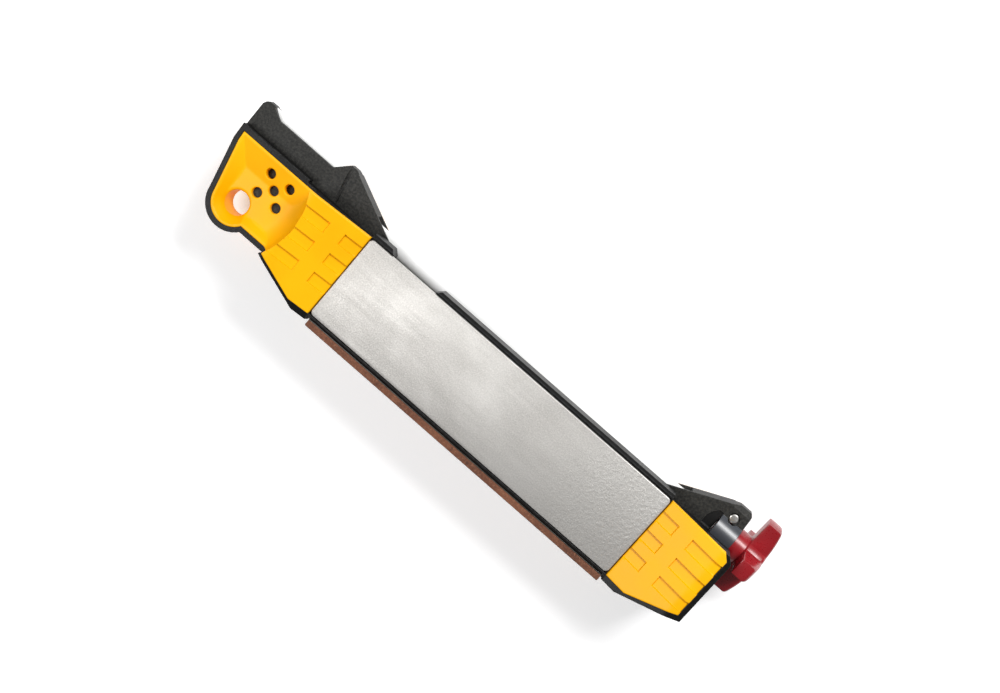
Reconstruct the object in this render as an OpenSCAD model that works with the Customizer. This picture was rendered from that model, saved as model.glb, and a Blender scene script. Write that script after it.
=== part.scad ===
// Honing guide: a double-sided hand sharpener with angle guides.
// Each face has a lift-off plate between two 20 degree ramps. One long edge has a turning
// ceramic rod between two 25 degree ramps, the other long edge has a leather strop.
//
// Every module is drawn round a local datum: the centre of the plates, on the mid-plane,
// with +X towards the knob, +Y towards the rod and +Z out of the front face.
// placed() then moves it to the stored frame, whose origin is the middle of the
// underside when the tool lies on its back ramps.

/* [Plates] */
// Length of each plate
plate_length = 101.6; // [85:0.1:122]
// Width of each plate
plate_width = 25.4; // [22:0.1:31]
// Thickness of each plate
plate_thickness = 1.6; // [1:0.1:2.2]
// Corner radius of the plates
plate_corner = 1.2; // [0.5:0.1:3]
// Gap round each plate in its seat
plate_gap = 0.3; // [0.15:0.05:0.5]

/* [Body] */
// Height of the plate faces above the mid-plane
face_height = 9.4; // [8.4:0.1:11.5]
// Half the thickness of the spine
spine_half = 3; // [2.8:0.1:3.6]
// Half the thickness of the web between the two storage pockets
web_half = 0.8; // [0.6:0.1:1.5]
// Width of the rail between a plate's seat and the outside
rail_width = 1.1; // [0.8:0.1:2.5]
// How far the rails stay below the plate faces
rail_drop = 0.4; // [0.2:0.1:1]
// Chamfer along the outer edge of the rails
rail_chamfer = 0.7; // [0.3:0.1:0.9]
// Wall between the storage pockets and the rod
pocket_wall = 1.4; // [1:0.1:2.5]
// Floor left at each end of a storage pocket, under the plate
pocket_end = 10.2; // [9.6:0.1:14]

/* [Finger notch] */
// Distance from the plate's lanyard end to the notch
notch_start = 7.3; // [5:0.1:15]
// Length of the notch
notch_length = 14; // [10:0.5:20]

/* [Ramps] */
// Angle of the plate ramps
ramp_angle = 20; // [15:0.5:24]
// Length of the slope, from the plate to the crest
ramp_run = 17; // [13:0.1:20]
// Rounding of the crest
crest_round = 5; // [2:0.5:8]
// Gap between a plate and a ramp
ramp_gap = 0.3; // [0.2:0.05:0.6]
// Thickness of a ramp's skin
ramp_skin = 1.8; // [1.2:0.1:2.5]
// How far the shells' rims stay below the ramps
rim_drop = 0.35; // [0.2:0.05:0.8]
// Depth of the grip pockets in a ramp
grip_depth = 0.5; // [0.3:0.05:0.9]
// Width of a grip pocket
grip_width = 3.2; // [2:0.1:4]
// Distance from one grip pocket to the next
grip_pitch = 6.3; // [5:0.1:7]

/* [Rod] */
// Diameter of the main rod
rod_diameter = 4.6; // [3.6:0.1:4.8]
// Height of the rod's axis outside the plate's edge
rod_offset = 0.62; // [0.4:0.02:1.5]
// Running clearance of the rod in its far bearing
rod_clearance = 0.05; // [0.02:0.01:0.09]
// Depth of the hook groove along the rod
hook_groove = 0.5; // [0.3:0.05:0.8]
// Angle of the rod ramps
ear_angle = 25; // [22:0.5:27]
// Height of the rod ramps above the rod's axis
ear_height = 9.2; // [7.5:0.1:10.2]
// Distance from the plate's end to the peak of a rod ramp
ear_run = 15.1; // [14:0.1:16]
// Width of the open channel where the rod leaves a ramp
channel_width = 4.9; // [4.86:0.02:5.2]

/* [Knob] */
// Radius of the knob over its lobes
knob_radius = 11.4; // [9.5:0.1:13]
// Width of a lobe
lobe_width = 4.9; // [3.5:0.1:6]
// Number of lobes
lobe_count = 4; // [3:1:5]
// Angle of the first lobe from +Y at rest
lobe_start = 10; // [0:1:44]
// Thickness of the knob at its axis
knob_thickness = 6; // [4.5:0.1:8]
// Height of the dome on the knob's end
knob_dome = 1.7; // [0.5:0.1:2.5]
// Diameter of the knob's shank
shank_diameter = 9; // [8:0.1:9.2]
// Running clearance of the shank in its barrel
shank_clearance = 0.05; // [0.02:0.01:0.09]
// Radius of the barrel round the shank
barrel_radius = 5.4; // [5.2:0.1:6]
// Diameter of the retaining pin
pin_diameter = 2.6; // [2:0.1:3]
// Depth of the neck that the pin runs in
neck_depth = 0.6; // [0.4:0.05:0.9]
// Clearance between the pin and the neck
pin_clearance = 0.1; // [0.05:0.01:0.2]

/* [Lanyard end] */
// Distance from the plate's end to the end of the tool
lanyard_reach = 45.2; // [42:0.1:52]
// Radius of the lanyard hole
hole_radius = 3.35; // [2.5:0.05:4]
// Wall of the sleeve that lines the lanyard hole
sleeve_wall = 1.25; // [1:0.05:1.6]
// Distance from the tool's end to the hole's centre
hole_inset = 11.4; // [10.5:0.1:13]
// Rounding of the lanyard corner, about the hole's centre
lanyard_round = 7.7; // [6.8:0.1:9]
// Height of the rim at the lanyard end
rim_height = 7; // [6:0.1:8]
// Width of the rim round the scoop
rim_width = 1.4; // [1:0.1:2]
// Height of the scoop's floor
scoop_floor = 4.6; // [4.2:0.1:5.5]
// Radius of the arc that ends the lanyard ramp
scoop_arc = 21.7; // [18:0.1:26]
// Rounding between the scoop's floor and the ramp's back
scoop_fillet = 6.5; // [4:0.5:8]

/* [Small rod] */
// Diameter of the small rod
small_rod_diameter = 3.5; // [2.5:0.1:4]
// Height of the edge block above the plate's edge
block_height = 6.34; // [5:0.1:8]

/* [Strop] */
// Thickness of the leather
strop_thickness = 1.9; // [1:0.1:3]
// Width of the leather
strop_width = 17; // [12:0.5:18]
// Thickness of the adhesive film
film_thickness = 0.2; // [0.1:0.05:0.4]

/* [Hardware] */
// Diameter of a magnet
magnet_diameter = 8; // [6:0.5:8.5]
// Thickness of a magnet
magnet_thickness = 2; // [1:0.1:3]
// Shank diameter of a housing screw
screw_diameter = 2.5; // [2:0.1:3]
// Diameter of a screw's head
screw_head = 4.6; // [4:0.1:5]
// Length of the wrench
wrench_length = 42; // [36:1:60]
// Thickness of the wrench
wrench_thickness = 3.6; // [2.5:0.1:4.5]

/* [Hidden] */
$fn = 64;

// Overlap that carries a cut past a face
cut = 1;
// Slack between a part and the pocket it drops into
slack = 0.1;

plate_end = plate_length / 2;
plate_edge = plate_width / 2;
seat_floor = face_height - plate_thickness;
rail_top = face_height - rail_drop;
side = plate_edge + plate_gap + rail_width;
// The ramps and shells are flush with the plate's edge on the rod side
flush = plate_edge;

rod_radius = rod_diameter / 2;
rod_y = plate_edge + rod_offset;
trough_y = rod_y - rod_radius - 0.3;
pocket_top = trough_y - pocket_wall;
pocket_bottom = -side + 4;
pocket_x = plate_end - pocket_end;

// The knob end, and the strop-side corner that both ends share
knob_end = plate_end + 21.2;
belly = side + 0.8;
belly_start = plate_end - 0.2;
belly_x = plate_end + 4.4;
belly_rise = 6.4;
lanyard_rise = 7.3;
corner_cut = 1.7;
ramp_slant = 0.433;
side_band = 5.2;
side_step = 0.4;

// The 20 degree ramp
ramp_x = plate_end + ramp_gap;
crest_x = ramp_x + ramp_run;
crest_height = face_height + ramp_run * tan(ramp_angle);
crest_steps = 8;

// The 25 degree ramps
ear_peak_x = plate_end + ear_run;
ear_peak_y = rod_y + ear_height;
ear_tip_x = plate_end - 3.6;
ear_tip_y = ear_peak_y - (ear_peak_x - ear_tip_x) * tan(ear_angle);
ear_bevel = 1.3;
channel_end = plate_end + 3.3;

// Knob, shank and barrel
shank_radius = shank_diameter / 2;
barrel_start = plate_end + 12.9;
barrel_end = plate_end + 19.4;
knob_start = knob_end + 1.8;
knob_tip = knob_start + knob_thickness;
pin_radius = pin_diameter / 2;
pin_x = barrel_start + 2.9;
neck_radius = shank_radius - neck_depth;
neck_half = pin_radius + 0.1;
pin_y = rod_y + neck_radius + pin_radius + pin_clearance;
flat_radius = neck_radius - 0.3;
// The detent spring lies under the neck, clear of its corners
spring_gap = 0.05;
slot_depth = neck_radius + 1;
rod_start = -(plate_end + 11.2);
rod_socket_end = knob_end;

// Lanyard end
lanyard_end = -(plate_end + lanyard_reach);
hole_x = lanyard_end + hole_inset;
hole_y = -plate_edge + 8.2;
lanyard_top = flush + 0.5;
lanyard_bottom = hole_y - 4.9;
rim_top_width = 1.6;
shoulder_y = hole_y + 13.4;
scoop_x = -(plate_end + 38.2);
scoop_y = 1.9;
// The straight side runs this far inside the round where they meet
foot_inset = 0.05;
sleeve_radius = hole_radius + sleeve_wall;
dish_inner = 7;
dish_rim = 13.5;
dish_x = scoop_x + 7;
dish_y = 1;
dot_x = scoop_x + 10;
dot_y = 4.3;
dot_pitch = 3.2;
dot_radius = 1.4;

// Edge block, end post and small rod
block_y = plate_edge + block_height;
small_rod_radius = small_rod_diameter / 2;
small_rod_y = block_y + 0.16;
post_y = block_y + 2.06;
small_rod_start = lanyard_end + 2.5;
small_rod_end = -(plate_end + 17.7);

// Hardware places
magnet_x = plate_end - 4.6;
screw_x = plate_end + 6.7;
screw_y = 6;
head_top = face_height - 0.4;
head_height = 1.6;
screw_tip = -face_height + 1.4;
peg_x = plate_end + 13.2;
peg_y = 4;
peg_radius = 1.5;
peg_depth = 2.5;
grip_rows = [for (i = [1, 0, -1]) 1.35 + i * grip_pitch];

// The stored frame's origin, seen from the local datum
lobe_half = asin(lobe_width / 2 / knob_radius);
lobe_leans = [for (i = [0 : lobe_count - 1])
    let (a = (90 + lobe_start + i * 360 / lobe_count) % 360) min(a, 360 - a)];
knob_top = rod_y + knob_radius * cos(max(0, min(lobe_leans) - lobe_half));
strop_y = side + film_thickness + strop_thickness;
origin_x = (knob_tip + lanyard_end) / 2;
origin_y = (knob_top - strop_y) / 2;

module placed() {
    translate([-origin_x, -origin_y, crest_height]) children();
}

// The back face is the front face mirrored about the mid-plane
module on_back() {
    mirror([0, 0, 1]) children();
}

// A cylinder along +X from x1 to x2, centred on a point of the YZ plane
module along_x(x1, x2, y, r) {
    translate([x1, y, 0]) rotate([0, 90, 0]) cylinder(h = x2 - x1, r = r);
}

// ---- Outlines seen from the front ----

// Where the straight side of the lanyard corner meets its round
function round_tangent(p, c, r) =
    let (d = norm(c - p), a = atan2(c[1] - p[1], c[0] - p[0]) - asin(r / d))
    p + sqrt(d * d - r * r) * [cos(a), sin(a)];

// The lanyard end, drawn in by a margin, with a wider margin along the rod side
module lanyard_outline(margin = 0, top_margin = 0) {
    hole = [hole_x, hole_y];
    top = lanyard_top - top_margin;
    left = lanyard_end + 0.3 + margin;
    shoulder = [left + 0.2, shoulder_y];
    foot = round_tangent(shoulder, hole, lanyard_round - margin - foot_inset);
    bottom = lanyard_bottom + margin;
    inner = scoop_x + scoop_arc + ramp_skin;
    translate(hole) circle(r = lanyard_round - margin);
    polygon([[left, top], shoulder, foot, hole, [hole_x, bottom], [inner, bottom],
        [inner, top]]);
}

// One end of the shells, from the plate to the knob, strop side cut back to a slant
module end_outline(rise = belly_rise) {
    polygon([[plate_end - cut, -plate_edge], [belly_start, -plate_edge], [belly_start, -belly],
        [belly_x, -belly], [knob_end, -belly + rise],
        [knob_end, flush - corner_cut], [knob_end - corner_cut, flush],
        [plate_end - cut, flush]]);
}

// The ramp that lies in that end, inside the shell's rim
module ramp_outline(length) {
    low = -belly + rim_width + 0.3;
    corner = belly_x + 2;
    polygon([[ramp_x, low], [corner, low], [length, low + (length - corner) * ramp_slant],
        [length, flush - corner_cut], [length - corner_cut, flush], [ramp_x, flush]]);
}

// The arc that ends the lanyard ramp, drawn out by a margin
module scoop_circle(margin = 0) {
    translate([scoop_x, scoop_y]) circle(r = scoop_arc + margin);
}

// The lanyard ramp, up to that arc
module lanyard_ramp_outline() {
    difference() {
        mirror([1, 0]) ramp_outline(knob_end + 2);
        scoop_circle();
    }
}

// The scoop and the back of the lanyard ramp
module scoop_outline() {
    intersection() {
        lanyard_outline(rim_width, rim_top_width);
        scoop_circle(ramp_skin);
    }
}

// ---- Solids bounded by a plate ramp ----

// Crest points of the ramp's profile, lowered by a drop
function crest_arc(drop) =
    let (t = crest_round * tan(ramp_angle / 2))
    [for (i = [0:crest_steps])
        let (a = ramp_angle * (1 - i / crest_steps))
        [crest_x + t - crest_round * sin(a),
         crest_height - crest_round + crest_round * cos(a) - drop]];

// Everything on one side under the ramp's surface
module under_ramp(drop, floor) {
    far = knob_end + 40;
    rotate([90, 0, 0]) linear_extrude(height = 80, center = true)
        polygon(concat([[ramp_x - 4, floor], [ramp_x - 4, face_height - drop],
            [ramp_x, face_height - drop]], crest_arc(drop),
            [[far, crest_height - drop], [far, floor]]));
}

// The ramp's skin: under its surface and over the same surface lowered
module ramp_layer(thickness) {
    difference() {
        under_ramp(0, 0);
        under_ramp(thickness, -cut);
    }
}

// Grip pockets: three rows, an inner and an outer one in each
module grip_cuts(length) {
    difference() {
        for (y = grip_rows, x = [[ramp_x - cut, ramp_x + 5.2], [ramp_x + 9.9, length]])
            translate([x[0], y - grip_width / 2, 0])
                cube([x[1] - x[0], grip_width, crest_height + cut]);
        under_ramp(grip_depth, -cut);
    }
}

// ---- Spine ----

// Edge block, end post and lanyard-end rod ramp, as one outline
module block_outline() {
    x = lanyard_end;
    polygon([[x + 0.3, flush - 2], [x, lanyard_top + 0.4], [x, post_y - 1.4],
        [x + 0.3, post_y - 0.5], [x + 1, post_y], [x + 2.85, post_y], [x + 6.4, block_y],
        [-ear_peak_x - 5.4, block_y], [-ear_peak_x - 2, ear_peak_y], [-ear_peak_x, ear_peak_y],
        [-ear_tip_x, ear_tip_y], [-ear_tip_x, trough_y - 2]]);
}

// Knob-end rod ramp
module ear_outline() {
    polygon([[ear_tip_x, trough_y - 2], [ear_tip_x, ear_tip_y], [ear_peak_x, ear_peak_y],
        [barrel_end - 0.9, ear_peak_y], [barrel_end - 0.4, ear_peak_y - 0.6],
        [barrel_end + 0.4, flush], [barrel_end + 0.4, trough_y - 2]]);
}

module spine_outline() {
    lanyard_outline();
    translate([-plate_end - cut, -side]) square([plate_length + 2 * cut, side + trough_y]);
    end_outline();
    mirror([1, 0]) end_outline(lanyard_rise);
    block_outline();
    ear_outline();
}

// Prism that takes a 45 degree chamfer off an edge that runs along X
module edge_cut(x1, x2, y, z, size) {
    far = size + cut;
    translate([x1, y, z]) rotate([90, 0, 90]) linear_extrude(height = x2 - x1)
        polygon([[-far, cut], [cut, -far], [cut, cut]]);
}

// Bevel along the top of a block on both faces
module top_bevel(x1, x2, y) {
    for (s = [0, 1]) mirror([0, 0, s]) edge_cut(x1, x2, y, spine_half, ear_bevel);
}

// Narrow slanted groove between the edge block and the rod ramp, on both faces
module face_groove() {
    for (s = [-1, 1])
        translate([-ear_peak_x + 0.4, flush - 0.5, s * spine_half])
            rotate([0, 0, 12]) translate([0, 0, -0.8])
                cube([1, ear_height + 4, 1.6]);
}

// Shallow pocket beside the barrel on both faces, its outer side curved, clear of the bore
module ear_window() {
    depth = 0.4;
    length = 3.1;
    height = 5.4;
    curve = 6.6;
    for (s = [-1, 1])
        translate([0, 0, s * spine_half])
            intersection() {
                translate([barrel_start - length, flush, -depth])
                    cube([length, height, 2 * depth]);
                translate([barrel_start + length + 0.2, flush + 0.6, -2 * depth])
                    cylinder(h = 4 * depth, r = curve);
            }
}

// Holes and slots for the rod, the knob's shank, the pin and the spring
module rod_cuts() {
    for (s = [-1, 1]) {
        low = s < 0 ? -channel_end : ear_tip_x - cut;
        translate([low, rod_y, -channel_width / 2])
            cube([channel_end - ear_tip_x + cut, ear_height, channel_width]);
    }
    along_x(-channel_end, -ear_tip_x + cut, rod_y, channel_width / 2);
    along_x(ear_tip_x - cut, channel_end, rod_y, channel_width / 2);
    along_x(rod_start - 0.3, -channel_end + cut, rod_y, rod_radius + rod_clearance);
    along_x(channel_end - cut, barrel_start + cut, rod_y, rod_radius + 2 * rod_clearance);
    along_x(barrel_start, knob_end + cut, rod_y, shank_radius + shank_clearance);
    translate([pin_x, pin_y, -spine_half - cut])
        cylinder(h = 2 * (spine_half + cut), r = pin_radius);
    for (s = [-1, 1])
        translate([pin_x, pin_y, s * (spine_half + 0.05)])
            cylinder(h = 1.5, r = pin_radius + 0.35, center = true);
    translate([pin_x - neck_half, rod_y - slot_depth, -spine_half + slack])
        cube([2 * neck_half, slot_depth, 2 * (spine_half - slack)]);
}

module center_frame() {
    color([0.16, 0.16, 0.17])
    difference() {
        union() {
            translate([0, 0, -spine_half])
                linear_extrude(height = 2 * spine_half) spine_outline();
            along_x(barrel_start, barrel_end, rod_y, barrel_radius);
        }
        for (s = [0, 1]) mirror([0, 0, s])
            translate([-pocket_x, pocket_bottom, web_half])
                cube([2 * pocket_x, pocket_top - pocket_bottom, spine_half]);
        rod_cuts();
        along_x(small_rod_start, small_rod_end, small_rod_y, small_rod_radius);
        top_bevel(ear_peak_x - 1.5, barrel_end + cut, ear_peak_y);
        top_bevel(-ear_peak_x - 3, -ear_peak_x + 1.2, ear_peak_y);
        top_bevel(lanyard_end - cut, lanyard_end + 3.4, post_y);
        face_groove();
        ear_window();
        translate([hole_x, hole_y, -spine_half - cut])
            cylinder(h = 2 * (spine_half + cut), r = sleeve_radius);
        screw_holes();
    }
}

// ---- Shells ----

module screw_places() {
    for (x = [-screw_x, screw_x], y = [-screw_y, screw_y])
        translate([x, y, 0]) children();
}

// Holes that the screws pass, with room for their heads in front
module screw_holes() {
    screw_places() {
        translate([0, 0, screw_tip]) cylinder(h = head_top - screw_tip, r = screw_diameter / 2);
        translate([0, 0, head_top - head_height])
            cylinder(h = crest_height, r = screw_head / 2 + slack);
    }
}

// Finger notch through the rod-side rail
module notch_cut() {
    x1 = -plate_end + notch_start;
    x2 = x1 + notch_length;
    rise = side - plate_edge;
    translate([0, 0, spine_half - cut]) linear_extrude(height = face_height)
        polygon([[x1, trough_y], [x1, plate_edge], [x1 - rise, side], [x1 - rise, side + cut],
            [x2 + rise, side + cut], [x2 + rise, side], [x2, plate_edge], [x2, trough_y]]);
}

// Chamfer along the outer edge of both rails
module rail_chamfers() {
    for (s = [0, 1]) mirror([0, s, 0])
        edge_cut(-plate_end, plate_end, side, rail_top, rail_chamfer);
}

// Step in the rod-side wall of an end, a band's width below the ramp
module side_recess() {
    intersection() {
        translate([plate_end + 1, flush - side_step, spine_half - cut])
            cube([knob_end - plate_end, cut, crest_height]);
        under_ramp(side_band, 0);
    }
}

// Pegs that hold a ramp on its shell
module ramp_pegs() {
    bottom = face_height + (peg_x - ramp_x) * tan(ramp_angle) - ramp_skin;
    for (y = [-peg_y, peg_y])
        translate([peg_x, y, bottom - peg_depth]) cylinder(h = peg_depth + 1, r = peg_radius);
}

// Seat of a ramp: its outline, down to the underside of its skin
module ramp_seat() {
    difference() {
        translate([0, 0, seat_floor - cut]) linear_extrude(height = crest_height) children();
        under_ramp(ramp_skin, 0);
    }
}

// The two ends of a shell, under the ramps' surface
module housing_ends() {
    intersection() {
        translate([0, 0, spine_half]) linear_extrude(height = crest_height) end_outline();
        under_ramp(rim_drop, 0);
    }
    intersection() {
        translate([0, 0, spine_half]) linear_extrude(height = crest_height) difference() {
            mirror([1, 0]) end_outline(lanyard_rise);
            scoop_circle();
        }
        mirror([1, 0, 0]) under_ramp(rim_drop, 0);
    }
}

// One shell, drawn for the front face
module housing() {
    difference() {
        union() {
            translate([-plate_end, -side, spine_half])
                cube([plate_length, 2 * side, rail_top - spine_half]);
            housing_ends();
            translate([0, 0, spine_half])
                linear_extrude(height = rim_height - spine_half) lanyard_outline();
        }
        translate([-plate_end - plate_gap, -plate_edge - plate_gap, seat_floor])
            cube([plate_length + 2 * plate_gap, plate_width + 2 * plate_gap, 2 * ramp_skin]);
        translate([-pocket_x, pocket_bottom, spine_half - cut])
            cube([2 * pocket_x, pocket_top - pocket_bottom, face_height]);
        for (x = [-magnet_x, magnet_x])
            translate([x, 0, seat_floor - magnet_thickness])
                cylinder(h = magnet_thickness + cut, r = magnet_diameter / 2);
        notch_cut();
        rail_chamfers();
        for (s = [0, 1]) mirror([s, 0, 0]) {
            side_recess();
            ramp_pegs();
        }
        ramp_seat() ramp_outline(knob_end - rim_width);
        mirror([1, 0, 0]) ramp_seat() mirror([1, 0]) lanyard_ramp_outline();
        translate([0, 0, spine_half - cut])
            linear_extrude(height = 2 * crest_height) scoop_outline();
        along_x(barrel_start - slack, knob_end + cut, rod_y, barrel_radius + slack);
    }
}

module front_housing() {
    color([0.12, 0.12, 0.13])
    difference() {
        housing();
        screw_holes();
    }
}

module back_housing() {
    color([0.12, 0.12, 0.13])
    difference() {
        on_back() housing();
        screw_holes();
    }
}

// ---- Yellow ramps ----

module knob_guide() {
    color([1, 0.76, 0.03]) {
        difference() {
            intersection() {
                linear_extrude(height = 2 * crest_height)
                    ramp_outline(knob_end - rim_width);
                ramp_layer(ramp_skin);
            }
            grip_cuts(knob_end);
        }
        ramp_pegs();
    }
}

// Hollow above the scoop: a flat floor that turns up into the ramp's back
module scoop_space() {
    inner = scoop_arc - scoop_fillet;
    translate([scoop_x, scoop_y, 0]) rotate_extrude() {
        translate([0, scoop_floor]) square([inner, 2 * crest_height]);
        translate([0, scoop_floor + scoop_fillet]) square([scoop_arc, 2 * crest_height]);
        intersection() {
            translate([inner, scoop_floor + scoop_fillet]) circle(r = scoop_fillet);
            translate([inner - cut, scoop_floor]) square(scoop_fillet + cut);
        }
    }
}

// The dish in the scoop, with sloping sides, and everything above the rim
module dish_space() {
    low = scoop_floor - cut;
    slope = (dish_rim - dish_inner) / (rim_height - scoop_floor);
    top = 3 * crest_height;
    translate([dish_x, dish_y, 0]) rotate_extrude()
        polygon([[0, low], [dish_inner - cut * slope, low], [dish_rim, rim_height],
            [plate_end, rim_height], [plate_end, top], [0, top]]);
}

// Round windows in the scoop's floor that let the thumb grip
module grip_dots() {
    for (p = [[0, 0], [1, 1], [1, -1], [-1, 1], [-1, -1]])
        translate([dot_x + p[0] * dot_pitch, dot_y + p[1] * dot_pitch, spine_half - cut])
            cylinder(h = crest_height, r = dot_radius);
}

module lanyard_guide() {
    color([1, 0.76, 0.03])
    difference() {
        union() {
            mirror([1, 0, 0]) {
                intersection() {
                    linear_extrude(height = 2 * crest_height)
                        mirror([1, 0]) lanyard_ramp_outline();
                    ramp_layer(ramp_skin);
                }
                ramp_pegs();
            }
            intersection() {
                translate([0, 0, spine_half])
                    linear_extrude(height = crest_height) scoop_outline();
                mirror([1, 0, 0]) under_ramp(0, 0);
            }
            translate([hole_x, hole_y, 0]) cylinder(h = spine_half + cut, r = sleeve_radius);
        }
        intersection() {
            scoop_space();
            dish_space();
        }
        translate([hole_x, hole_y, -cut]) cylinder(h = crest_height, r = hole_radius);
        grip_dots();
        mirror([1, 0, 0]) grip_cuts(knob_end + 2);
    }
}

module front_lanyard_guide() { lanyard_guide(); }
module back_lanyard_guide() { on_back() lanyard_guide(); }
module front_knob_guide() { knob_guide(); }
module back_knob_guide() { on_back() knob_guide(); }

// ---- Plates, magnets and what is stored under them ----

module plate_outline() {
    x = plate_end - plate_corner;
    y = plate_edge - plate_corner;
    square([2 * x, plate_width], center = true);
    square([plate_length, 2 * y], center = true);
    for (cx = [-x, x], cy = [-y, y]) translate([cx, cy]) circle(r = plate_corner);
}

module plate() {
    translate([0, 0, seat_floor]) linear_extrude(height = plate_thickness) plate_outline();
}

module front_plate() { color([0.72, 0.71, 0.68]) plate(); }
module back_plate() { color([0.66, 0.66, 0.66]) on_back() plate(); }

module magnet(x) {
    color([0.6, 0.6, 0.63])
        translate([x, 0, seat_floor - magnet_thickness])
            cylinder(h = magnet_thickness, r = magnet_diameter / 2);
}

module front_magnet_lanyard_end() { magnet(-magnet_x); }
module front_magnet_knob_end() { magnet(magnet_x); }
module back_magnet_lanyard_end() { on_back() magnet(-magnet_x); }
module back_magnet_knob_end() { on_back() magnet(magnet_x); }

// Flat wrench with a three-slot socket for arrow points
module broadhead_wrench() {
    width = 11;
    socket = 6;
    color([0.2, 0.2, 0.21])
    translate([pocket_x - wrench_length - 2, (pocket_top + pocket_bottom) / 2, web_half])
        difference() {
            linear_extrude(height = wrench_thickness) {
                translate([width / 2, 0]) circle(r = width / 2);
                translate([wrench_length - width / 2, 0]) circle(r = width / 2);
                translate([width / 2, -width / 4]) square([wrench_length - width, width / 2]);
            }
            for (end = [width / 2, wrench_length - width / 2])
                translate([end, 0, -cut]) linear_extrude(height = wrench_thickness + 2 * cut) {
                    circle(r = socket / 4);
                    for (a = [0, 120, 240]) rotate(a)
                        translate([0, -0.5]) square([socket / 2 + 0.8, 1]);
                }
        }
}

// ---- Rod and knob ----

module main_rod() {
    color([0.95, 0.95, 0.93])
    difference() {
        along_x(rod_start, rod_socket_end, rod_y, rod_radius);
        translate([0, rod_y, -rod_radius]) rotate([45, 0, 0])
            cube([plate_length - 20, hook_groove * sqrt(2), hook_groove * sqrt(2)],
                center = true);
    }
}

// Lobed outline of the knob, about its axis
module knob_outline() {
    intersection() {
        circle(r = knob_radius);
        union() {
            circle(r = shank_radius);
            for (i = [0 : lobe_count - 1])
                rotate(90 + lobe_start + i * 360 / lobe_count)
                    translate([0, -lobe_width / 2]) square([knob_radius, lobe_width]);
        }
    }
}

// Turns a shape drawn in the XY plane so that it faces along +X at the rod's axis
module across_rod(x) {
    translate([x, rod_y, 0]) rotate([90, 0, 90]) children();
}

module knob() {
    dome = (knob_radius * knob_radius + knob_dome * knob_dome) / (2 * knob_dome);
    color([0.55, 0.06, 0.09])
    difference() {
        union() {
            along_x(barrel_start + 0.3, knob_start + cut, rod_y, shank_radius);
            intersection() {
                across_rod(knob_start) linear_extrude(height = knob_thickness)
                    knob_outline();
                translate([knob_tip - dome, rod_y, 0]) sphere(r = dome);
            }
        }
        difference() {
            along_x(pin_x - neck_half, pin_x + neck_half, rod_y, shank_radius + cut);
            intersection() {
                along_x(pin_x - neck_half - cut, pin_x + neck_half + cut, rod_y, neck_radius);
                translate([pin_x, rod_y, 0])
                    cube([4 * neck_half, 2 * flat_radius, 2 * flat_radius], center = true);
            }
        }
        along_x(barrel_start, rod_socket_end, rod_y, rod_radius);
    }
}

module retaining_pin() {
    color([0.75, 0.74, 0.72])
        translate([pin_x, pin_y, -spine_half + 0.4])
            cylinder(h = 2 * spine_half - 0.8, r = pin_radius);
}

// Leaf spring under the neck's flats, pressed down: a flat bridge on two bent feet
module detent_spring() {
    leaf = 0.35;
    top = -neck_radius - spring_gap;
    foot = spine_half - 0.2;
    bridge = neck_radius / 2 - 0.4;
    floor = -slot_depth;
    color([0.7, 0.7, 0.72])
        across_rod(pin_x - neck_half + slack)
            linear_extrude(height = 2 * (neck_half - slack))
                polygon([[floor, -foot], [top - leaf, -bridge], [top - leaf, bridge],
                    [floor, foot], [floor + leaf, foot], [top, bridge], [top, -bridge],
                    [floor + leaf, -foot]]);
}

module small_rod() {
    color([0.95, 0.95, 0.93])
        along_x(small_rod_start, small_rod_end, small_rod_y, small_rod_radius);
}

// ---- Fasteners and strop ----

module housing_screws() {
    drive = 1.1;
    color([0.55, 0.55, 0.57])
    screw_places() difference() {
        union() {
            translate([0, 0, screw_tip])
                cylinder(h = head_top - screw_tip - 0.5, r = screw_diameter / 2);
            translate([0, 0, head_top - head_height])
                cylinder(h = head_height, r = screw_head / 2);
        }
        translate([0, 0, head_top]) for (a = [0, 90]) rotate(a)
            cube([2 * drive, 0.6, 1.6], center = true);
    }
}

module strop_sheet(y, thickness) {
    translate([-plate_end + 0.8, y, -strop_width / 2])
        cube([plate_length - 1.2, thickness, strop_width]);
}

module strop() {
    color([0.55, 0.32, 0.2]) strop_sheet(-strop_y, strop_thickness);
}

module strop_adhesive() {
    color([0.85, 0.82, 0.7]) strop_sheet(-strop_y + strop_thickness, film_thickness);
}

placed() center_frame();
placed() front_housing();
placed() back_housing();
placed() front_lanyard_guide();
placed() back_lanyard_guide();
placed() front_knob_guide();
placed() back_knob_guide();
placed() front_plate();
placed() back_plate();
placed() front_magnet_lanyard_end();
placed() front_magnet_knob_end();
placed() back_magnet_lanyard_end();
placed() back_magnet_knob_end();
placed() main_rod();
placed() knob();
placed() retaining_pin();
placed() detent_spring();
placed() small_rod();
placed() broadhead_wrench();
placed() housing_screws();
placed() strop();
placed() strop_adhesive();
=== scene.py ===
import math

import bmesh
import bpy
import numpy as np
from mathutils import Matrix, Vector
from mathutils.geometry import delaunay_2d_cdt


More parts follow.
